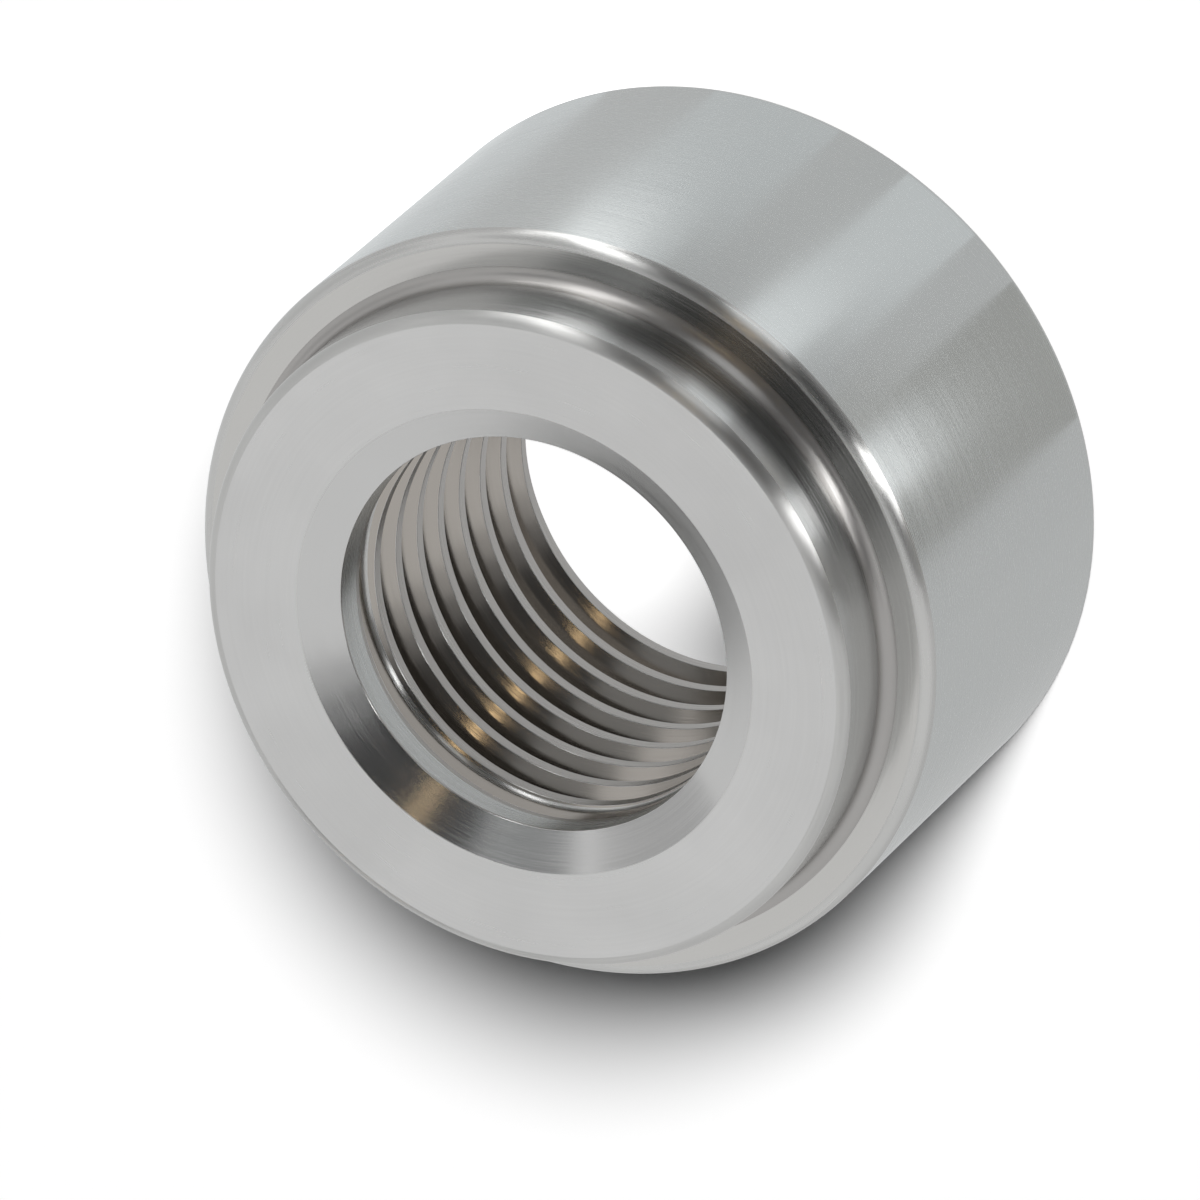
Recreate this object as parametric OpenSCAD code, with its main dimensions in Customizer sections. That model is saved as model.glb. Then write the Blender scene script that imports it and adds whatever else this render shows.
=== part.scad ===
// Weld-on bung: a turned steel boss with a stepped nose and a 1/4 inch pipe thread through it.
// The bung stands on its back face, with the nose up and the bore along Z.
// All sizes are in millimetres. The origin is at the centre of the back face.

/* [Body] */
// Diameter of the body, the bar that the bung is turned from
body_d = 22.2; // [18:0.1:40]
// Overall length, from the back face to the nose face
bung_l = 13.5; // [8:0.5:40]
// Rounding of the body's edge beside the step
body_edge_r = 0.35; // [0.1:0.05:0.6]
// Small break on the edge of the back face
back_edge_r = 0.1; // [0.05:0.05:0.5]

/* [Nose] */
// Height of the stepped nose, which locates in the hole of the tank or tube
nose_h = 2.5; // [1:0.1:5]
// Width of the shoulder around the nose
step_w = 1.4; // [0.8:0.1:1.8]
// Rounding of the nose's edge
nose_edge_r = 0.3; // [0.1:0.05:0.6]
// Fillet in the corner between the nose and the shoulder
step_fillet_r = 0.4; // [0.1:0.05:0.8]

/* [Thread] */
// Thread as a plain bore at its crests, as on a drawing, or cut as a helical groove
thread_form = "plain bore"; // [plain bore, helical groove]
// Major diameter of the thread
thread_d = 13.157; // [9.728:0.001:13.157]
// Pitch of the thread, 19 threads an inch
thread_p = 1.337; // [0.8:0.001:1.6]
// Angle between the two flanks of a groove
thread_angle = 55; // [50:1:60]
// How much larger the tapping drill is than the basic minor diameter
drill_over = 0.25; // [0:0.05:0.4]
// Depth of the centre of the groove's blunt start below the nose face
thread_start_z = 1.4; // [1.3:0.1:3]
// Direction in which the groove starts, seen from the nose
thread_start_a = 270; // [0:5:355]
// Turns over which the groove reaches its full depth
thread_lead = 1.5; // [0.5:0.25:3]

/* [Countersinks] */
// How much wider the nose countersink is than the thread
front_sink_over = 0.65; // [0.2:0.05:1]
// Included angle of the nose countersink
front_sink_angle = 120; // [90:5:130]
// How much wider the back countersink is than the thread
back_sink_over = 0.85; // [0.2:0.05:1]
// Included angle of the back countersink
back_sink_angle = 90; // [80:5:130]

/* [Hidden] */

// Fineness of the round surfaces, and of one turn of the helical groove
round_fn = 144;
turn_steps = 48;
// How far a cutting shape runs past the surface that it cuts
past = 1;

body_r = body_d / 2;
body_h = bung_l - nose_h;
nose_r = body_r - step_w;
fillet_r = min(step_fillet_r, step_w - body_edge_r, nose_h - nose_edge_r);

// Depth of the thread: two thirds of the sharp triangle between its flanks
thread_depth = thread_p / (3 * tan(thread_angle / 2));
thread_r = thread_d / 2;
pitch_r = thread_r - thread_depth / 2;
bore_r = thread_r - thread_depth + drill_over / 2;

front_sink_r = thread_r + front_sink_over / 2;
front_sink_h = (front_sink_r - bore_r) / tan(front_sink_angle / 2);
back_sink_r = thread_r + back_sink_over / 2;
back_sink_h = (back_sink_r - bore_r) / tan(back_sink_angle / 2);

// Width of the groove at a radius: half a pitch at the pitch line, wider towards the bore
function groove_w(r) = thread_p / 2 + 2 * (pitch_r - r) * tan(thread_angle / 2);

// The shape that cuts the groove reaches inside the bore wall, until its turns nearly meet
turns_meet_share = 0.97;
cutter_in = (turns_meet_share * thread_p - groove_w(bore_r)) / (2 * tan(thread_angle / 2));
// The groove begins just inside the bore wall and runs out through the back face
start_in = 0.05;
groove_turns = (bung_l - thread_start_z + thread_p) / thread_p;
groove_steps = ceil(groove_turns * turn_steps);

// Radius of the groove's floor after a number of turns
function floor_r(turns) =
    let (from_r = bore_r - start_in)
    from_r + (thread_r - from_r) * min(1, turns / thread_lead);

// The four corners of the groove's section after a number of turns
function groove_section(turns) =
    let (
        angle = thread_start_a - 360 * turns,
        mid_z = bung_l - thread_start_z - thread_p * turns,
        in_r = bore_r - cutter_in,
        out_r = floor_r(turns),
        in_w = groove_w(in_r) / 2,
        out_w = groove_w(out_r) / 2
    )
    [for (corner = [[in_r, -in_w], [out_r, -out_w], [out_r, out_w], [in_r, in_w]])
        [corner[0] * cos(angle), corner[0] * sin(angle), mid_z + corner[1]]];

// The helical groove of the thread as one closed solid
module thread_groove() {
    points = [for (i = [0:groove_steps]) each groove_section(i / turn_steps)];
    last = 4 * groove_steps;
    sides = [for (i = [0:groove_steps - 1]) for (k = [0:3])
        let (a = 4 * i + k, b = 4 * i + (k + 1) % 4)
        each [[a, a + 4, b], [b, a + 4, b + 4]]];
    start_cap = [[0, 1, 2], [0, 2, 3]];
    end_cap = [[last, last + 2, last + 1], [last, last + 3, last + 2]];
    polyhedron(points = points, faces = concat(start_cap, sides, end_cap), convexity = 20);
}

// What is cut off a square outer corner to leave it round: the corner is at the origin
module corner_cut(r) {
    translate([-r, -r])
        difference() {
            square(r + past);
            circle(r, $fn = round_fn);
        }
}

// Half section of the solid bar, turned down to the nose, with its edges and fillet
module turned_section() {
    difference() {
        union() {
            square([body_r, body_h]);
            square([nose_r, bung_l]);
            translate([nose_r, body_h])
                difference() {
                    square(fillet_r);
                    translate([fillet_r, fillet_r]) circle(fillet_r, $fn = round_fn);
                }
        }
        translate([nose_r, bung_l]) corner_cut(nose_edge_r);
        translate([body_r, body_h]) corner_cut(body_edge_r);
        translate([body_r, 0]) mirror([0, 1]) corner_cut(back_edge_r);
    }
}

// Half section of the drilled bore with a countersink at each end
module bore_section() {
    front_past_r = front_sink_r + past * tan(front_sink_angle / 2);
    back_past_r = back_sink_r + past * tan(back_sink_angle / 2);
    polygon([
        [0, -past],
        [back_past_r, -past],
        [bore_r, back_sink_h],
        [bore_r, bung_l - front_sink_h],
        [front_past_r, bung_l + past],
        [0, bung_l + past]
    ]);
}

module bung() {
    color([0.74, 0.74, 0.73])
        difference() {
            rotate_extrude($fn = round_fn)
                difference() {
                    turned_section();
                    bore_section();
                }
            if (thread_form == "helical groove") thread_groove();
        }
}

bung();
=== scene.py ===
"""Looks of a weld-on bung: a fine mesh of its turned and threaded steel, a pale studio and a camera.

Sizes are in millimetres, as in the part's source, and become metres where a mesh is made. Angles are in
degrees.
"""
import logging
import math
from dataclasses import dataclass, field
from enum import Enum

import bpy
import numpy as np
from mathutils import Matrix, Vector


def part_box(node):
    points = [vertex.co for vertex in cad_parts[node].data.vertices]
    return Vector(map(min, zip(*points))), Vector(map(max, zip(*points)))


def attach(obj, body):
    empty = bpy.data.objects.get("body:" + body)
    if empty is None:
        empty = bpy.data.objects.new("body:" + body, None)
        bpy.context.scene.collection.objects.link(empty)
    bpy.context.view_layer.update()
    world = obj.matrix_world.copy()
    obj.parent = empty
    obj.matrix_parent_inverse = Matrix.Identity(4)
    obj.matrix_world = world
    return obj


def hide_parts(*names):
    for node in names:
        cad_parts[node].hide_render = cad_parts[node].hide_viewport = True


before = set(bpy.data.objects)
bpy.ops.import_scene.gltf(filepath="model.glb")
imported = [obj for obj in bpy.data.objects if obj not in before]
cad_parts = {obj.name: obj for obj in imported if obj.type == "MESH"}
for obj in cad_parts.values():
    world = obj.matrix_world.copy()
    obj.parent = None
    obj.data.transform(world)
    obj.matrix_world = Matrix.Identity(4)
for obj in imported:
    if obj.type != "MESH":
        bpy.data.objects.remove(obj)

MM = 0.001
CAD_NODE = "bung"

# Faces across each kind of rounding
CREST_STEPS = 3
ROOT_STEPS = 4
SINK_STEPS = 4
BREAK_STEPS = 6
EDGE_STEPS = 12

# The row number of the ring at a column's front, past all rows of the thread. The back's is its opposite.
RING_ROW = 10**6

# The coordinate that the tool's marks follow is the radius plus this share of the height
MARK_RISE = 1.6
# How far around the axis a mark keeps its form
MARK_LENGTH = 4.0
# Width of a streak as a share of its length along the axis
STREAK_SHORT = 0.08
# How much the marks count in the steel's colour beside the streaks
MARK_SHARE = 0.7
# How fine the noise of the marks and of the streaks is
MARK_DETAIL = 3
STREAK_DETAIL = 2
# The values between which most of a noise lies
NOISE_LOW = 0.3
NOISE_HIGH = 0.7
# The turn that draws reflections out across the marks
ACROSS_MARKS = 0.25

log = logging.getLogger("bung")


class Finish(Enum):
    """What the machine left on a surface. The value is the material's place in the mesh."""

    FACED = 0
    TURNED = 1
    SHOULDER = 2
    NOSE = 3
    NOSE_EDGE = 4
    FILLET = 5
    EDGE = 6
    SINK = 7
    CREST = 8
    FLANK = 9


@dataclass(frozen=True)
class Corner:
    """A corner of a section, with its rounding and the finish of the line after it.

    r and z are measured from the bung's axis and its back face. steps is how many faces the rounding has, and
    edge is its finish.
    """

    r: float
    z: float
    rounding: float = 0.0
    finish: Finish = Finish.TURNED
    steps: int = 1
    edge: Finish = Finish.EDGE


@dataclass(frozen=True)
class SectionPoint:
    """A point of a rounded section, with the way that its surface faces and the finish after it."""

    r: float
    z: float
    normal_r: float
    normal_z: float
    finish: Finish


def rounded_section(corners: list[Corner]) -> list[SectionPoint]:
    """Rounds the corners of a section whose air is on the left as it is followed.

    Args:
        corners: The section's corners in order. The first and the last stay sharp.

    Returns:
        The points of the section, with an arc in place of each corner between the ends.
    """
    spots = [np.array([c.r, c.z]) for c in corners]
    ways = [(b - a) / np.linalg.norm(b - a) for a, b in zip(spots, spots[1:])]
    points = [SectionPoint(*spots[0], -ways[0][1], ways[0][0], corners[0].finish)]
    for corner, spot, way_in, way_out in zip(corners[1:-1], spots[1:-1], ways, ways[1:]):
        turn = math.atan2(way_in[0] * way_out[1] - way_in[1] * way_out[0], way_in @ way_out)
        reach = corner.rounding * math.tan(abs(turn) / 2)
        start = spot - way_in * reach
        heading = math.atan2(way_in[1], way_in[0])
        for step in range(corner.steps + 1):
            angle = heading + turn * step / corner.steps
            side = math.copysign(corner.rounding, turn)
            place = start + side * np.array([
                math.sin(angle) - math.sin(heading),
                math.cos(heading) - math.cos(angle),
            ])
            finish = corner.finish if step == corner.steps else corner.edge
            points.append(SectionPoint(*place, -math.sin(angle), math.cos(angle), finish))
    points.append(SectionPoint(*spots[-1], -ways[-1][1], ways[-1][0], corners[-1].finish))
    return points


@dataclass
class SteelMesh:
    """The bung's surface as it is built up: its points, faces, and the way each face's corners look."""

    spots: list = field(default_factory=list)
    faces: list = field(default_factory=list)
    normals: list = field(default_factory=list)
    finishes: list = field(default_factory=list)

    def add_spot(self, spot: tuple[float, float, float]) -> int:
        """Adds a point and returns its number."""
        self.spots.append(spot)
        return len(self.spots) - 1

    def add_face(self, spots: list[int], normals: list, finish: Finish) -> None:
        """Adds a face, with one normal for each of its corners."""
        self.faces.append(spots)
        self.normals.extend(normals)
        self.finishes.append(finish.value)

    def make(self, name: str, materials: list[bpy.types.Material]) -> bpy.types.Object:
        """Makes the Blender object.

        Args:
            name: The name of the piece.
            materials: One material for each finish, in the order of Finish.

        Returns:
            The piece, in metres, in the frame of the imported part.
        """
        mesh = bpy.data.meshes.new(name)
        mesh.from_pydata((np.array(self.spots) * MM).tolist(), [], self.faces)
        mesh.polygons.foreach_set("material_index", self.finishes)
        mesh.polygons.foreach_set("use_smooth", [True] * len(self.faces))
        for material in materials:
            mesh.materials.append(material)
        mesh.normals_split_custom_set(self.normals)
        piece = bpy.data.objects.new(name, mesh)
        bpy.context.scene.collection.objects.link(piece)
        return piece


@dataclass
class Bung:
    """The bung: a turned boss with a stepped nose, a countersink at each end and a thread between them."""

    body_r: float
    length: float
    nose_h: float = 2.5
    step_w: float = 1.4
    body_edge_r: float = 0.35
    nose_edge_r: float = 0.3
    step_fillet_r: float = 0.4
    back_edge_r: float = 0.1
    thread_d: float = 13.157
    thread_p: float = 1.337
    thread_angle: float = 55.0
    root_round_share: float = 0.137329
    root_round_fit: float = 0.999
    round_lead: float = 0.25
    drill_over: float = 0.25
    thread_start_z: float = 1.4
    thread_start_a: float = 270.0
    thread_lead: float = 1.5
    start_in: float = 0.05
    start_skim: float = 0.01
    runout_margin: float = 0.04
    front_sink_over: float = 0.65
    front_sink_angle: float = 120.0
    back_sink_over: float = 0.85
    back_sink_angle: float = 90.0
    sink_edge_r: float = 0.05
    crest_edge_r: float = 0.03
    steps: int = 360

    @classmethod
    def from_frame(cls) -> "Bung":
        """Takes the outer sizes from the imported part."""
        low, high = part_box(CAD_NODE)
        return cls(body_r=high.x / MM, length=(high.z - low.z) / MM)

    @property
    def thread_r(self) -> float:
        """Radius at the thread's root."""
        return self.thread_d / 2

    @property
    def flank_slope(self) -> float:
        """How much wider each side of the groove gets for a millimetre towards the axis."""
        return math.tan(math.radians(self.thread_angle / 2))

    @property
    def thread_depth(self) -> float:
        """Depth of the thread: two thirds of the sharp triangle between its flanks."""
        return self.thread_p / (3 * self.flank_slope)

    @property
    def bore_r(self) -> float:
        """Radius of the drilled bore, which is the thread's crest."""
        return self.thread_r - self.thread_depth + self.drill_over / 2

    @property
    def nose_r(self) -> float:
        """Radius of the stepped nose."""
        return self.body_r - self.step_w

    @property
    def body_h(self) -> float:
        """Height of the shoulder above the back face."""
        return self.length - self.nose_h

    @property
    def front_sink_r(self) -> float:
        """Radius of the nose countersink at the face."""
        return self.thread_r + self.front_sink_over / 2

    @property
    def back_sink_r(self) -> float:
        """Radius of the back countersink at the face."""
        return self.thread_r + self.back_sink_over / 2

    @property
    def front_sink_h(self) -> float:
        """Depth of the nose countersink."""
        return (self.front_sink_r - self.bore_r) / math.tan(math.radians(self.front_sink_angle / 2))

    @property
    def back_slope(self) -> float:
        """How much wider the back countersink gets for a millimetre towards the back face."""
        return math.tan(math.radians(self.back_sink_angle / 2))

    @property
    def back_sink_h(self) -> float:
        """Depth of the back countersink."""
        return (self.back_sink_r - self.bore_r) / self.back_slope

    @property
    def runout_z(self) -> float:
        """Height in the back countersink below which the thread's groove no longer reaches."""
        return self.back_sink_h - (self.thread_r - self.bore_r) / self.back_slope - self.runout_margin

    @property
    def first_turn(self) -> float:
        """Turns after the groove's start at which its floor leaves the bore wall."""
        rise = self.thread_r - self.bore_r + self.start_in
        return self.thread_lead * (self.start_in + self.start_skim) / rise

    def groove_half(self, r: float) -> float:
        """Half of the groove's width at a radius."""
        pitch_r = self.thread_r - self.thread_depth / 2
        return self.thread_p / 4 + (pitch_r - r) * self.flank_slope

    def cone_r(self, z: float) -> float:
        """Radius of the back countersink at a height."""
        return self.bore_r + (self.back_sink_h - z) * self.back_slope

    def angle(self, turns: float) -> float:
        """Direction of the groove, in radians, after a number of turns clockwise as seen from the nose."""
        return math.radians(self.thread_start_a) - 2 * math.pi * turns

    def outer_section(self) -> list[SectionPoint]:
        """The turned section from the bore's front, over the nose and the body, to the back countersink."""
        front_z = self.length - self.front_sink_h
        return rounded_section([
            Corner(self.bore_r, front_z - 2 * self.crest_edge_r, finish=Finish.CREST),
            Corner(self.bore_r, front_z, self.crest_edge_r, Finish.SINK, CREST_STEPS),
            Corner(self.front_sink_r, self.length, self.sink_edge_r, Finish.FACED, SINK_STEPS),
            Corner(self.nose_r, self.length, self.nose_edge_r, Finish.NOSE, EDGE_STEPS, Finish.NOSE_EDGE),
            Corner(self.nose_r, self.body_h, self.step_fillet_r, Finish.SHOULDER, EDGE_STEPS, Finish.FILLET),
            Corner(self.body_r, self.body_h, self.body_edge_r, Finish.TURNED, EDGE_STEPS),
            Corner(self.body_r, 0, self.back_edge_r, Finish.FACED, BREAK_STEPS),
            Corner(self.back_sink_r, 0, self.sink_edge_r, Finish.SINK, SINK_STEPS),
            Corner(self.cone_r(self.runout_z), self.runout_z),
        ])

    def thread_section(self, turns: float) -> list[SectionPoint]:
        """The groove's section after a number of turns, with half of the crest on either side of it.

        Args:
            turns: Turns from the groove's start. The groove reaches its full depth over its first turns.

        Returns:
            The section's points, from the back to the front, with z from the middle of the groove.
        """
        from_r = self.bore_r - self.start_in
        floor_r = from_r + (self.thread_r - from_r) * min(1.0, turns / self.thread_lead)
        depth_share = (floor_r - self.bore_r) / (self.thread_r - self.bore_r)
        round_share = min(1.0, depth_share / self.round_lead)
        root_round = self.root_round_share * self.thread_p * self.root_round_fit * round_share
        crest_round = self.crest_edge_r * round_share
        crest = self.groove_half(self.bore_r)
        root = self.groove_half(floor_r)
        return rounded_section([
            Corner(self.bore_r, -self.thread_p / 2, finish=Finish.CREST),
            Corner(self.bore_r, -crest, crest_round, Finish.FLANK, CREST_STEPS),
            Corner(floor_r, -root, root_round, Finish.FLANK, ROOT_STEPS),
            Corner(floor_r, root, root_round, Finish.FLANK, ROOT_STEPS),
            Corner(self.bore_r, crest, crest_round, Finish.CREST, CREST_STEPS),
            Corner(self.bore_r, self.thread_p / 2),
        ])

    def build(self, materials: list[bpy.types.Material]) -> bpy.types.Object:
        """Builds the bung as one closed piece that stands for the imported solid.

        Args:
            materials: One material for each finish, in the order of Finish.

        Returns:
            The piece, riding on the part's one body.
        """
        mesh = SteelMesh()
        back_ring, front_ring = self.add_turned(mesh)
        self.add_thread(mesh, back_ring, front_ring)
        piece = mesh.make("threaded_bung", materials)
        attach(piece, "root")
        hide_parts(CAD_NODE)
        return piece

    def add_turned(self, mesh: SteelMesh) -> tuple[list[int], list[int]]:
        """Adds everything that the lathe turns, as rings of points around the axis.

        Args:
            mesh: The mesh that takes the faces.

        Returns:
            The ring in the back countersink and the ring in the front of the bore, which the thread joins.
        """
        section = self.outer_section()
        angles = [self.angle(self.first_turn + i / self.steps) for i in range(self.steps)]
        rings = [
            [mesh.add_spot((p.r * math.cos(a), p.r * math.sin(a), p.z)) for a in angles]
            for p in section
        ]
        ways = [
            [(p.normal_r * math.cos(a), p.normal_r * math.sin(a), p.normal_z) for a in angles]
            for p in section
        ]
        for j in range(len(section) - 1):
            for i in range(self.steps):
                k = (i + 1) % self.steps
                mesh.add_face(
                    [rings[j][i], rings[j][k], rings[j + 1][k], rings[j + 1][i]],
                    [ways[j][i], ways[j][k], ways[j + 1][k], ways[j + 1][i]],
                    section[j].finish,
                )
        return rings[-1], rings[0]

    def add_thread(self, mesh: SteelMesh, back_ring: list[int], front_ring: list[int]) -> None:
        """Adds the threaded bore between the two rings.

        Each direction around the bore has one column of points, from the back to the front. The columns
        follow the helix, so a turn's points lie one row lower in the column where the next turn begins.

        Args:
            mesh: The mesh that takes the faces.
            back_ring: The ring in the back countersink.
            front_ring: The ring in the front of the bore.
        """
        front_z = self.outer_section()[0].z
        turns = [self.first_turn + i / self.steps for i in range(self.steps)]
        columns = [
            ThreadColumn.cut(self, mesh, turn, back, front, front_z)
            for turn, back, front in zip(turns, back_ring, front_ring)
        ]
        rows_a_turn = len(self.thread_section(self.first_turn)) - 1
        for i in range(self.steps):
            after = columns[(i + 1) % self.steps]
            shift = rows_a_turn if i == self.steps - 1 else 0
            columns[i].join(after, shift, mesh)


@dataclass
class CutPoint:
    """A point of a thread column before it is in the mesh: its row, its place and its section point."""

    row: int
    r: float
    z: float
    point: SectionPoint


@dataclass
class ThreadSpot:
    """A point of a thread column: its row, its number in the mesh, its normals and how deep it is cut.

    deeper is how much further out the groove reaches there than the back countersink.
    """

    row: int
    number: int
    thread_normal: tuple[float, float, float]
    cone_normal: tuple[float, float, float]
    finish: Finish
    deeper: float


@dataclass
class ThreadColumn:
    """The points of the threaded bore in one direction, from the back countersink to the front."""

    spots: list[ThreadSpot]

    @classmethod
    def cut(
        cls,
        bung: Bung,
        mesh: SteelMesh,
        turns: float,
        back_number: int,
        front_number: int,
        front_z: float,
    ) -> "ThreadColumn":
        """Makes the column that the groove first passes after a number of turns.

        Args:
            bung: The bung that the column belongs to.
            mesh: The mesh that takes the points.
            turns: Turns from the groove's start to this column.
            back_number: The ring's point in the back countersink.
            front_number: The ring's point in the front of the bore.
            front_z: The height of the front ring.

        Returns:
            The column.
        """
        angle = bung.angle(turns)
        helix = bung.thread_p / (2 * math.pi)
        slope = math.hypot(1, bung.back_slope)
        cone = cls.around(angle, -1 / slope, 0, -bung.back_slope / slope)
        wall = cls.around(angle, -1, 0, 0)
        spots = [ThreadSpot(-RING_ROW, back_number, cone, cone, Finish.SINK, -1)]
        for cut in cls.rows(bung, turns, front_z):
            point = cut.point
            cone_r = bung.cone_r(cut.z)
            at_r = max(cut.r, cone_r)
            number = mesh.add_spot((at_r * math.cos(angle), at_r * math.sin(angle), cut.z))
            normal = cls.around(angle, point.normal_r, -point.normal_z * helix / cut.r, point.normal_z)
            spots.append(ThreadSpot(cut.row, number, normal, cone, point.finish, cut.r - cone_r))
        spots.append(ThreadSpot(RING_ROW, front_number, wall, wall, Finish.CREST, 1))
        return cls(spots)

    @staticmethod
    def around(angle: float, outward: float, along: float, upward: float) -> tuple[float, float, float]:
        """A direction given by its parts away from the axis, around it and along it, with length 1."""
        size = math.sqrt(outward**2 + along**2 + upward**2)
        return (
            (outward * math.cos(angle) - along * math.sin(angle)) / size,
            (outward * math.sin(angle) + along * math.cos(angle)) / size,
            upward / size,
        )

    @staticmethod
    def rows(bung: Bung, turns: float, front_z: float) -> list[CutPoint]:
        """The rows of a column between the two rings.

        Args:
            bung: The bung that the column belongs to.
            turns: Turns from the groove's start to this column.
            front_z: The height of the front ring.

        Returns:
            The rows' points from the back to the front. Where the groove meets the countersink, the nearest
            point is moved onto the line between them.
        """
        mid_z = bung.length - bung.thread_start_z
        last = math.ceil((mid_z + bung.thread_p) / bung.thread_p - turns)
        rows = []
        for k in range(last, -1, -1):
            section = bung.thread_section(turns + k)
            shown = section if k == 0 else section[:-1]
            for p, point in enumerate(shown):
                z = mid_z - bung.thread_p * (turns + k) + point.z
                if bung.runout_z < z < front_z:
                    rows.append(CutPoint(p - k * (len(section) - 1), point.r, z, point))
        for low, high in zip(rows, rows[1:]):
            below = low.r - bung.cone_r(low.z)
            above = high.r - bung.cone_r(high.z)
            if below * above < 0:
                share = below / (below - above)
                nearest = low if share < 0.5 else high
                nearest.z = low.z + share * (high.z - low.z)
                nearest.r = bung.cone_r(nearest.z)
        return rows

    def join(self, after: "ThreadColumn", shift: int, mesh: SteelMesh) -> None:
        """Fills the strip between this column and the next one.

        Args:
            after: The next column.
            shift: How many rows higher the next column's numbers count here.
            mesh: The mesh that takes the faces.
        """
        here = [(s.row, s) for s in self.spots]
        there = [(s.row + (shift if abs(s.row) < RING_ROW else 0), s) for s in after.spots]
        i = j = 0
        while i < len(here) - 1 or j < len(there) - 1:
            row_here = here[i + 1][0] if i < len(here) - 1 else math.inf
            row_there = there[j + 1][0] if j < len(there) - 1 else math.inf
            a, b = here[i][1], there[j][1]
            if row_here == row_there:
                c, d = there[j + 1][1], here[i + 1][1]
                i, j = i + 1, j + 1
                if a.deeper == 0 and c.deeper == 0:
                    self.fill([a, b, c], mesh)
                    self.fill([a, c, d], mesh)
                elif b.deeper == 0 and d.deeper == 0:
                    self.fill([a, b, d], mesh)
                    self.fill([b, c, d], mesh)
                else:
                    self.fill([a, b, c, d], mesh)
            elif row_here < row_there:
                i += 1
                self.fill([a, b, here[i][1]], mesh)
            else:
                j += 1
                self.fill([a, b, there[j][1]], mesh)

    @staticmethod
    def fill(spots: list[ThreadSpot], mesh: SteelMesh) -> None:
        """Adds a face of the groove, or of the countersink where that is cut deeper."""
        in_groove = sum(s.deeper for s in spots) > 0
        mesh.add_face(
            [s.number for s in spots],
            [s.thread_normal if in_groove else s.cone_normal for s in spots],
            spots[0].finish if in_groove else Finish.SINK,
        )


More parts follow.
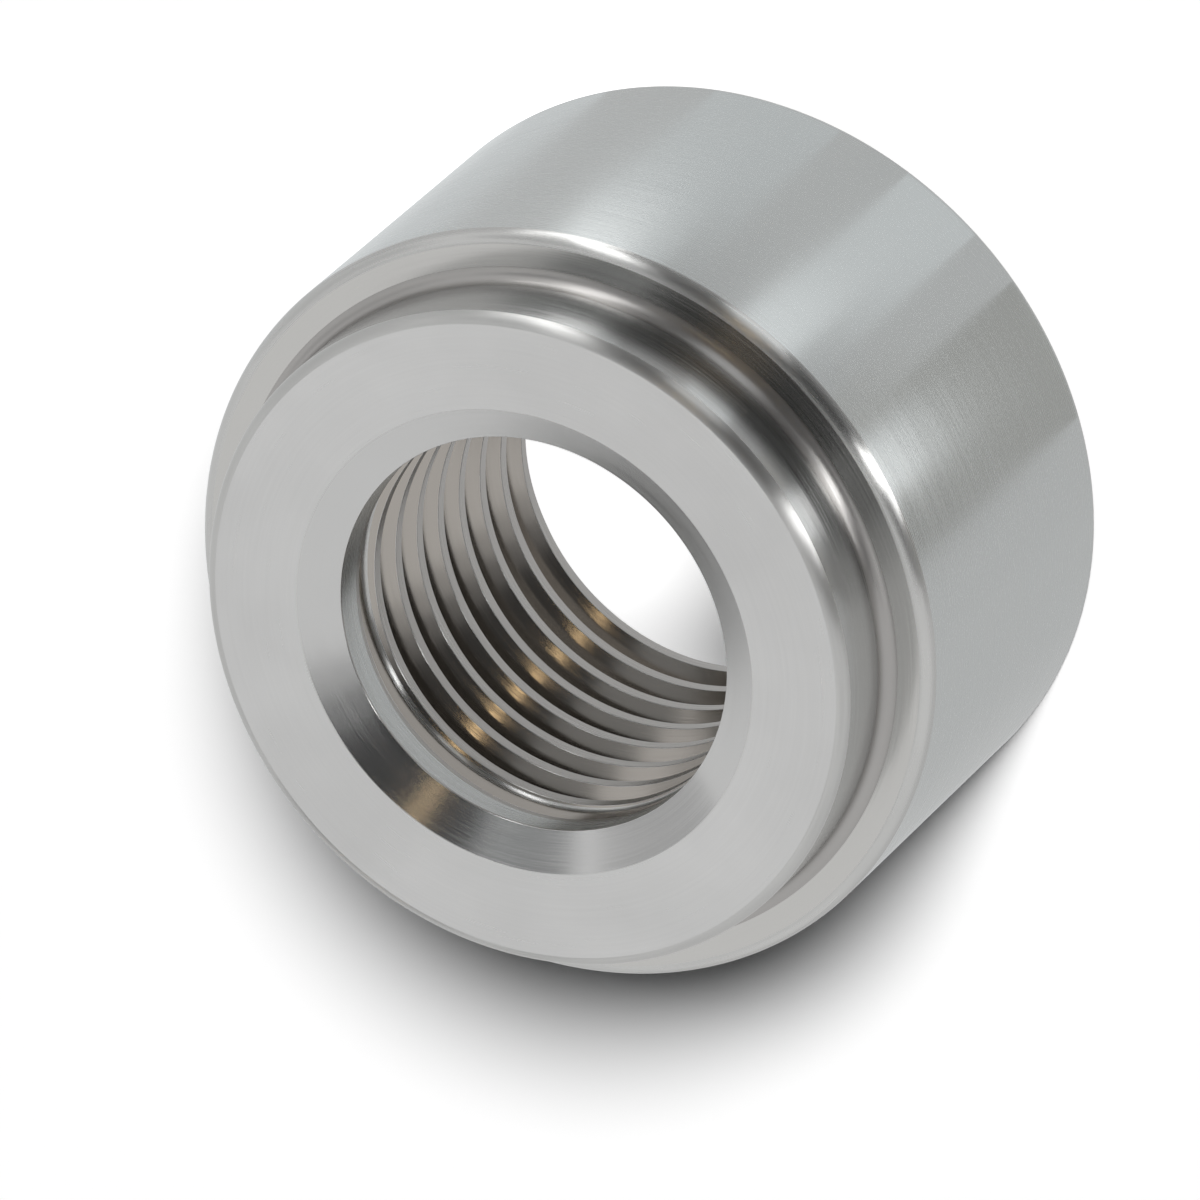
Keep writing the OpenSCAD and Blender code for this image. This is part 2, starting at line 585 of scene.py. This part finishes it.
@dataclass(frozen=True)
class Steel:
    """A finish of the steel, for one kind of surface.

    Colours are linear. The marks are the fine lines that the tool left around the axis, and the streaks are
    broad, faint bands of brighter and duller colour that run along it: a random tone of the metal that also
    stands in for painted reflection streaks. A swing is how far a value goes up and down with them.
    """

    name: str
    colour: tuple[float, float, float] = (0.60, 0.60, 0.59)
    roughness: float = 0.3
    anisotropy: float = 0.9
    mark_pitch: float = 0.06
    mark_height: float = 0.0004
    roughness_swing: float = 0.05
    streak_width: float = 3.0
    streak_swing: float = 0.04

    def material(self) -> bpy.types.Material:
        """Makes the finish's material."""
        material = bpy.data.materials.new(self.name)
        material.use_nodes = True
        tree = material.node_tree
        shader = tree.nodes["Principled BSDF"]
        shader.inputs["Metallic"].default_value = 1
        shader.inputs["Anisotropic"].default_value = self.anisotropy
        shader.inputs["Anisotropic Rotation"].default_value = ACROSS_MARKS
        tangent = tree.nodes.new("ShaderNodeTangent")
        tangent.direction_type = "RADIAL"
        tangent.axis = "Z"
        tree.links.new(tangent.outputs["Tangent"], shader.inputs["Tangent"])
        marks = self.add_marks(tree)
        tree.links.new(self.add_roughness(tree, marks), shader.inputs["Roughness"])
        tree.links.new(self.add_bump(tree, marks), shader.inputs["Normal"])
        tree.links.new(self.add_colour(tree, marks), shader.inputs["Base Color"])
        return material

    def add_marks(self, tree: bpy.types.NodeTree) -> bpy.types.NodeSocket:
        """Adds noise that is drawn out around the axis, as a tool leaves it.

        Args:
            tree: The material's node tree.

        Returns:
            A socket from 0 to 1.
        """
        place = tree.nodes.new("ShaderNodeTexCoord").outputs["Object"]
        parts = tree.nodes.new("ShaderNodeSeparateXYZ")
        tree.links.new(place, parts.inputs[0])
        x, y, z = (parts.outputs[axis] for axis in "XYZ")
        square = add_math(tree, "ADD", add_math(tree, "POWER", x, 2), add_math(tree, "POWER", y, 2))
        rise = add_math(tree, "MULTIPLY", z, MARK_RISE)
        across = add_math(tree, "ADD", add_math(tree, "SQRT", square), rise)
        drawn = tree.nodes.new("ShaderNodeCombineXYZ")
        tree.links.new(add_math(tree, "DIVIDE", across, self.mark_pitch * MM), drawn.inputs["X"])
        tree.links.new(add_math(tree, "DIVIDE", x, MARK_LENGTH * MM), drawn.inputs["Y"])
        tree.links.new(add_math(tree, "DIVIDE", y, MARK_LENGTH * MM), drawn.inputs["Z"])
        return add_noise(tree, drawn.outputs["Vector"], MARK_DETAIL)

    def add_roughness(self, tree: bpy.types.NodeTree, marks: bpy.types.NodeSocket) -> bpy.types.NodeSocket:
        """Adds the roughness, a little more in the marks and a little less between them."""
        swing = self.roughness_swing
        return add_range(tree, marks, self.roughness - swing, self.roughness + swing)

    def add_bump(self, tree: bpy.types.NodeTree, marks: bpy.types.NodeSocket) -> bpy.types.NodeSocket:
        """Adds the marks' height."""
        bump = tree.nodes.new("ShaderNodeBump")
        bump.inputs["Distance"].default_value = self.mark_height * MM
        tree.links.new(marks, bump.inputs["Height"])
        return bump.outputs["Normal"]

    def add_colour(self, tree: bpy.types.NodeTree, marks: bpy.types.NodeSocket) -> bpy.types.NodeSocket:
        """Adds the steel's colour, with its streaks along the axis, partly painted reflection, and a little
        of the marks.
        """
        place = tree.nodes.new("ShaderNodeTexCoord").outputs["Object"]
        drawn = tree.nodes.new("ShaderNodeMapping")
        across = 1 / (self.streak_width * MM)
        drawn.inputs["Scale"].default_value = (across, across, across * STREAK_SHORT)
        tree.links.new(place, drawn.inputs["Vector"])
        # Streaks along the axis: random tone of the metal that also paints the turned steel's reflection
        # streaks
        streaks = add_noise(tree, drawn.outputs["Vector"], STREAK_DETAIL)
        mix = tree.nodes.new("ShaderNodeMix")
        mix.data_type = "RGBA"
        low = [c * (1 - self.streak_swing) for c in self.colour]
        high = [c * (1 + self.streak_swing) for c in self.colour]
        mix.inputs["A"].default_value = (*low, 1)
        mix.inputs["B"].default_value = (*high, 1)
        both = add_math(tree, "ADD", add_math(tree, "MULTIPLY", marks, MARK_SHARE), streaks)
        tree.links.new(add_math(tree, "DIVIDE", both, 1 + MARK_SHARE), mix.inputs["Factor"])
        return mix.outputs["Result"]


def add_math(
    tree: bpy.types.NodeTree,
    operation: str,
    first: bpy.types.NodeSocket,
    second: bpy.types.NodeSocket | float = 0.0,
) -> bpy.types.NodeSocket:
    """Adds a math node and returns its result."""
    node = tree.nodes.new("ShaderNodeMath")
    node.operation = operation
    tree.links.new(first, node.inputs[0])
    if isinstance(second, bpy.types.NodeSocket):
        tree.links.new(second, node.inputs[1])
    else:
        node.inputs[1].default_value = second
    return node.outputs[0]


def add_mirrored(tree: bpy.types.NodeTree, path: bpy.types.Node) -> bpy.types.NodeSocket:
    """Adds what is 1 for a ray that the steel mirrors and 0 for light that it throws on the floor."""
    straight = add_math(tree, "LESS_THAN", path.outputs["Diffuse Depth"], 0.5)
    return add_math(tree, "MULTIPLY", straight, path.outputs["Is Glossy Ray"])


def add_noise(tree: bpy.types.NodeTree, place: bpy.types.NodeSocket, detail: int) -> bpy.types.NodeSocket:
    """Adds a noise texture and returns its factor."""
    noise = tree.nodes.new("ShaderNodeTexNoise")
    noise.inputs["Scale"].default_value = 1
    noise.inputs["Detail"].default_value = detail
    tree.links.new(place, noise.inputs["Vector"])
    return noise.outputs[0]


def add_range(
    tree: bpy.types.NodeTree,
    value: bpy.types.NodeSocket,
    low: float,
    high: float,
) -> bpy.types.NodeSocket:
    """Spreads a noise over a range and returns the result."""
    node = tree.nodes.new("ShaderNodeMapRange")
    node.inputs["From Min"].default_value = NOISE_LOW
    node.inputs["From Max"].default_value = NOISE_HIGH
    node.inputs["To Min"].default_value = low
    node.inputs["To Max"].default_value = high
    tree.links.new(value, node.inputs["Value"])
    return node.outputs["Result"]


@dataclass(frozen=True)
class PhotoCamera:
    """The photograph's camera: what it looks at, from where, and how it is turned.

    clip is in metres.
    """

    aim: tuple[float, float, float] = (-0.532, -1.919, 12.139)
    distance: float = 453.9
    elevation: float = 54.682
    roll: float = 132.131
    lens: float = 498.63
    sensor: float = 36.0
    clip: tuple[float, float] = (0.01, 100.0)

    def place(self) -> bpy.types.Object:
        """Makes the camera and gives it to the scene."""
        data = bpy.data.cameras.new("photo_camera")
        data.lens = self.lens
        data.sensor_width = self.sensor
        data.clip_start, data.clip_end = self.clip
        camera = bpy.data.objects.new("photo_camera", data)
        bpy.context.scene.collection.objects.link(camera)
        rise = math.radians(self.elevation)
        back = Vector((0, -math.cos(rise), math.sin(rise)))
        turned = Matrix.Rotation(math.radians(self.roll), 3, -back)
        upright = Matrix.Rotation(math.pi / 2 - rise, 3, "X")
        camera.matrix_world = (turned @ upright).to_4x4()
        camera.location = (Vector(self.aim) + back * self.distance) * MM
        bpy.context.scene.camera = camera
        return camera


def direction(azimuth: float, elevation: float) -> Vector:
    """The way to a place around the bung, from its azimuth and elevation."""
    turn, rise = math.radians(azimuth), math.radians(elevation)
    return Vector((math.cos(turn) * math.cos(rise), math.sin(turn) * math.cos(rise), math.sin(rise)))


@dataclass(frozen=True)
class Card:
    """A glowing or a dark card that only the reflections in the steel show.

    Azimuths run anticlockwise from +X, seen from above, and the camera stands at -90. The four angles are
    where the card's middle is, and how far it reaches from side to side and up and down.
    """

    name: str
    azimuth: float
    elevation: float
    width: float
    height: float
    glow: float = 0.0
    colour: tuple[float, float, float] = (1.0, 1.0, 1.0)
    distance: float = 600.0

    def place(self) -> bpy.types.Object:
        """Makes the card, bent around the bung."""
        rises = (self.elevation - self.height / 2, self.elevation + self.height / 2)
        edges = [[direction(turn, rise) * self.distance * MM for turn in spread(self.azimuth, self.width)]
                 for rise in rises]
        return reflected_strip(self.name, edges, self.colour, self.glow)


@dataclass(frozen=True)
class FloorCard:
    """A part of the floor that the bung's sides mirror to the camera, and that only reflections show.

    The camera sees it in the body over a width around an azimuth. The reach is measured from the body's wall,
    in the direction in which the wall mirrors the camera's view.
    """

    name: str
    azimuth: float
    width: float
    glow: float
    colour: tuple[float, float, float] = (1.0, 1.0, 1.0)
    reach: tuple[float, float] = (0.1, 600.0)
    wall_r: float = 11.1
    height: float = -0.01

    def place(self) -> bpy.types.Object:
        """Lays the card on the floor."""
        edges = [
            [
                (direction(turn, 0) * self.wall_r + direction(2 * turn + 90, 0) * reach) * MM
                + Vector((0, 0, self.height * MM))
                for turn in spread(self.azimuth, self.width)
            ]
            for reach in self.reach
        ]
        return reflected_strip(self.name, edges, self.colour, self.glow)


@dataclass(frozen=True)
class OverheadCard:
    """A flat card above the bung, between two corners, that only the reflections in the steel show."""

    name: str
    low: tuple[float, float]
    high: tuple[float, float]
    glow: float
    colour: tuple[float, float, float] = (1.0, 1.0, 1.0)
    height: float = 560.0

    def place(self) -> bpy.types.Object:
        """Hangs the card."""
        edges = [
            [Vector((x, y, self.height)) * MM for x in (self.low[0], self.high[0])]
            for y in (self.low[1], self.high[1])
        ]
        return reflected_strip(self.name, edges, self.colour, self.glow)


def spread(middle: float, width: float) -> list[float]:
    """Angles at even steps across a width."""
    steps = 12
    return [middle + width * (i / steps - 0.5) for i in range(steps + 1)]


def reflected_strip(
    name: str,
    edges: list[list[Vector]],
    colour: tuple[float, float, float],
    glow: float,
) -> bpy.types.Object:
    """Makes a glowing strip between two rows of points.

    Args:
        name: The strip's name.
        edges: The two rows of points, in metres.
        colour: Its colour.
        glow: How bright it is, where 1 is white.

    Returns:
        The strip. It shows in reflections only.
    """
    count = len(edges[0])
    faces = [(i, i + 1, count + i + 1, count + i) for i in range(count - 1)]
    mesh = bpy.data.meshes.new(name)
    mesh.from_pydata(edges[0] + edges[1], [], faces)
    mesh.materials.append(glow_material(name, colour, glow))
    strip = bpy.data.objects.new(name, mesh)
    bpy.context.scene.collection.objects.link(strip)
    strip.visible_camera = False
    strip.visible_diffuse = False
    strip.visible_shadow = False
    return strip


def glow_material(name: str, colour: tuple[float, float, float], strength: float) -> bpy.types.Material:
    """Makes a material that only glows."""
    material = bpy.data.materials.new(name)
    material.use_nodes = True
    nodes = material.node_tree.nodes
    nodes.remove(nodes["Principled BSDF"])
    glow = nodes.new("ShaderNodeEmission")
    glow.inputs["Color"].default_value = (*colour, 1)
    glow.inputs["Strength"].default_value = strength
    material.node_tree.links.new(glow.outputs[0], nodes["Material Output"].inputs["Surface"])
    material.cycles.emission_sampling = "NONE"
    return material


@dataclass
class Studio:
    """A plain pale floor, soft light, and the cards that the steel reflects.

    A glow, a gloss and the sky are strengths, where 1 is white. Under the bore, where the bung shades the
    floor, a pool of painted light fades out between two radii around a place on the floor.
    """

    floor_r: float = 3000.0
    floor_z: float = -0.02
    floor_colour: tuple[float, float, float] = (0.98, 0.98, 0.98)
    floor_glow: float = 0.01
    floor_gloss: float = 0.66
    painted_bore_light: float = 1.0
    # Painted light on the floor under the bore, where the bung shades it: its strength, its middle and the
    # radii of its fade
    painted_bore_light_at: tuple[float, float] = (4.5, 0.5)
    painted_bore_light_r: tuple[float, float] = (5.2, 9.8)
    sky: float = 0.05
    sky_gloss: float = 0.85
    key_azimuth: float = -78.0
    key_elevation: float = 49.5
    key_size: float = 15.5
    key_light: float = 3.98

    def build(self) -> None:
        """Builds the floor, the world, the key light and the cards."""
        self.add_floor()
        self.add_world()
        self.add_key()
        for card in CARDS:
            card.place()

    def add_floor(self) -> bpy.types.Object:
        """Adds the floor that the bung stands on."""
        mesh = bpy.data.meshes.new("floor")
        r, z = self.floor_r * MM, self.floor_z * MM
        mesh.from_pydata([(-r, -r, z), (r, -r, z), (r, r, z), (-r, r, z)], [], [(0, 1, 2, 3)])
        floor = bpy.data.objects.new("floor", mesh)
        bpy.context.scene.collection.objects.link(floor)
        mesh.materials.append(self.floor_material())
        return floor

    def floor_material(self) -> bpy.types.Material:
        """Makes the floor's material: white paper that glows a little, and a pool of painted light under the
        bore.
        """
        material = bpy.data.materials.new("pale_floor")
        material.use_nodes = True
        tree = material.node_tree
        tree.nodes.remove(tree.nodes["Principled BSDF"])
        paper = tree.nodes.new("ShaderNodeBsdfDiffuse")
        paper.inputs["Color"].default_value = (*self.floor_colour, 1)
        glow = tree.nodes.new("ShaderNodeEmission")
        path = tree.nodes.new("ShaderNodeLightPath")
        place = tree.nodes.new("ShaderNodeTexCoord").outputs["Object"]
        off = tree.nodes.new("ShaderNodeVectorMath")
        off.operation = "DISTANCE"
        off.inputs[1].default_value = (self.painted_bore_light_at[0] * MM, self.painted_bore_light_at[1] * MM, 0)
        tree.links.new(place, off.inputs[0])
        # The pool of painted light under the bore, fading out to the floor's even glow
        bore = tree.nodes.new("ShaderNodeMapRange")
        bore.interpolation_type = "SMOOTHSTEP"
        bore.inputs["From Min"].default_value = self.painted_bore_light_r[0] * MM
        bore.inputs["From Max"].default_value = self.painted_bore_light_r[1] * MM
        bore.inputs["To Min"].default_value = self.painted_bore_light
        bore.inputs["To Max"].default_value = self.floor_glow
        tree.links.new(off.outputs["Value"], bore.inputs["Value"])
        seen = add_math(tree, "MULTIPLY", bore.outputs["Result"], path.outputs["Is Camera Ray"])
        mirrored = add_mirrored(tree, path)
        gloss = add_math(tree, "MULTIPLY", mirrored, self.floor_gloss)
        tree.links.new(add_math(tree, "ADD", seen, gloss), glow.inputs["Strength"])
        both = tree.nodes.new("ShaderNodeAddShader")
        tree.links.new(glow.outputs[0], both.inputs[0])
        tree.links.new(paper.outputs[0], both.inputs[1])
        only = tree.nodes.new("ShaderNodeMixShader")
        tree.links.new(path.outputs["Is Glossy Ray"], only.inputs["Fac"])
        tree.links.new(both.outputs[0], only.inputs[1])
        tree.links.new(glow.outputs[0], only.inputs[2])
        tree.links.new(only.outputs[0], tree.nodes["Material Output"].inputs["Surface"])
        material.cycles.emission_sampling = "NONE"
        return material

    def add_world(self) -> None:
        """Adds the world: white to the camera, pale in the steel, and a soft light on the floor."""
        world = bpy.data.worlds.new("studio")
        world.use_nodes = True
        tree = world.node_tree
        back = tree.nodes["Background"]
        back.inputs["Color"].default_value = (1, 1, 1, 1)
        path = tree.nodes.new("ShaderNodeLightPath")
        seen = add_math(tree, "MULTIPLY", path.outputs["Is Camera Ray"], 1 - self.sky)
        gloss = add_math(tree, "MULTIPLY", add_mirrored(tree, path), self.sky_gloss - self.sky)
        both = add_math(tree, "ADD", seen, gloss)
        tree.links.new(add_math(tree, "ADD", both, self.sky), back.inputs["Strength"])
        bpy.context.scene.world = world

    def add_key(self) -> bpy.types.Object:
        """Adds the soft light that throws the shadow."""
        data = bpy.data.lights.new("key", "SUN")
        data.energy = self.key_light
        data.angle = math.radians(self.key_size)
        key = bpy.data.objects.new("key", data)
        bpy.context.scene.collection.objects.link(key)
        toward = direction(self.key_azimuth, self.key_elevation)
        key.rotation_euler = toward.to_track_quat("Z", "Y").to_euler()
        key.visible_glossy = False
        return key


FINISHES = {
    Finish.FACED: Steel(
        "faced_steel", (0.62, 0.62, 0.615),
        roughness=0.32, anisotropy=0.5, mark_pitch=0.1, streak_swing=0.14,
    ),
    Finish.TURNED: Steel(
        "turned_steel", (0.592, 0.612, 0.608),
        roughness=0.27, anisotropy=0.5, streak_swing=0.07,
    ),
    # The shoulder's steel is a little darker and warmer than the turned steel: painted shade under the nose's
    # step
    Finish.SHOULDER: Steel(
        "shoulder_steel_painted_shade", (0.57, 0.565, 0.55),
        roughness=0.16, anisotropy=0.3, mark_height=0.0001,
    ),
    Finish.NOSE: Steel("nose_steel", (0.52, 0.525, 0.52), roughness=0.2, anisotropy=0.5),
    Finish.NOSE_EDGE: Steel("nose_edge_steel", roughness=0.38, anisotropy=1.0),
    # The fillet's steel is much darker than the rest: painted shade in the corner under the nose
    Finish.FILLET: Steel("fillet_steel_painted_shade", (0.42, 0.41, 0.40), roughness=0.32, anisotropy=0.7),
    Finish.EDGE: Steel("edge_steel", roughness=0.28, anisotropy=1.0),
    Finish.SINK: Steel("countersunk_steel", (0.58, 0.58, 0.575), roughness=0.2, anisotropy=0.7),
    # The crests in the bore are darker and warmer than the rest: painted shade in the bore
    Finish.CREST: Steel("drilled_steel_painted_shade", (0.50, 0.49, 0.475), roughness=0.3, anisotropy=0.7),
    # The thread's flanks are the darkest and brownest steel: painted shade deep in the grooves
    Finish.FLANK: Steel("tapped_steel_painted_shade", (0.41, 0.385, 0.355), roughness=0.16, anisotropy=0.3),
}

BLUISH = (0.97, 0.99, 1.0)
WARM = (1.0, 0.8, 0.6)
GOLDEN = (1.0, 0.74, 0.42)
BROWNISH = (1.0, 0.99, 0.96)

# Reaches of the floor's cards: close to the body, further out, and all the rest
CLOSE = (0.1, 5.9)
OUTER = (5.9, 9.5)
FAR = (9.5, 600.0)
PAST_CLOSE = (5.9, 600.0)

CARDS = (
    Card("high_right", -146, 60, 16, 40, 0.52),
    Card("high_right_grey", -129, 60, 18, 40, 0.22),
    Card("high_dark", -99, 60, 42, 40, 0.06),
    Card("warm_lamp", -54, 72.5, 7, 5, 6.5, GOLDEN, 480.0),
    Card("warm_glow", -58, 63, 10, 12, 0.22, WARM, 500.0),
    Card("high_middle", -70, 46, 16, 14, 0.3, WARM, 550.0),
    Card("high_left_dark", -54, 60, 48, 40, 0.07),
    Card("high_left", -12, 56, 36, 38, 0.33, BLUISH),
    Card("side_grey", 30, 30, 36, 24, 0.55),
    OverheadCard("overhead_dark", (-60, -170), (150, 120), 0.1),
    Card("low_right_dark", -132, 20, 20, 42, 0.2),
    Card("right_strip", -114, 24, 9, 50, 4.0),
    Card("low_camera_dark", -95, 20, 24, 42, 0.1),
    Card("low_middle", -74, 20, 15, 42, 0.9, BLUISH),
    Card("low_left_dark", -55, 20, 21, 42, 0.15),
    Card("left_strip", -33, 24, 12, 50, 3.2),
    Card("far_grey", 78, 6, 110, 14, 0.84),
    FloorCard("floor_right", -109.5, 22, 0.5, BROWNISH, CLOSE),
    FloorCard("floor_middle", -83.5, 13, 0.82, BLUISH, CLOSE),
    FloorCard("floor_left", -55.5, 20, 0.74, BLUISH, CLOSE),
    FloorCard("floor_right_dark", -115, 10, 0.4, BROWNISH, PAST_CLOSE),
    FloorCard("floor_right_strip", -105.2, 8.6, 0.78, BLUISH, OUTER),
    FloorCard("floor_right_strip_far", -105.2, 8.0, 3.0, reach=FAR),
    FloorCard("floor_camera", -97, 7, 0.6, BROWNISH, OUTER),
    FloorCard("floor_camera_far", -92.5, 15, 0.3, reach=FAR),
    FloorCard("floor_middle_far", -81, 9.5, 1.12, BLUISH, PAST_CLOSE),
    FloorCard("floor_left_dark_far", -69.5, 13, 0.3, reach=FAR),
    FloorCard("floor_left_far", -54, 17, 0.93, BLUISH, OUTER),
    FloorCard("floor_left_strip_far", -55.5, 9, 2.5, reach=FAR),
    FloorCard("floor_back_left", -21, 14, 0.82, BLUISH),
    FloorCard("floor_back_edge", -9, 10, 0.95, BLUISH),
    FloorCard("floor_back_right", -182, 18, 0.84, BLUISH),
)


def main() -> None:
    """Builds the bung, the studio and the camera."""
    logging.basicConfig(level=logging.INFO, format="%(name)s: %(message)s")
    bpy.context.scene.view_settings.view_transform = "Standard"
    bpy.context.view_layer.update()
    bung = Bung.from_frame()
    piece = bung.build([FINISHES[finish].material() for finish in Finish])
    log.info("%s: %d faces", piece.name, len(piece.data.polygons))
    Studio().build()
    PhotoCamera().place()


if __name__ == "__main__":
    main()
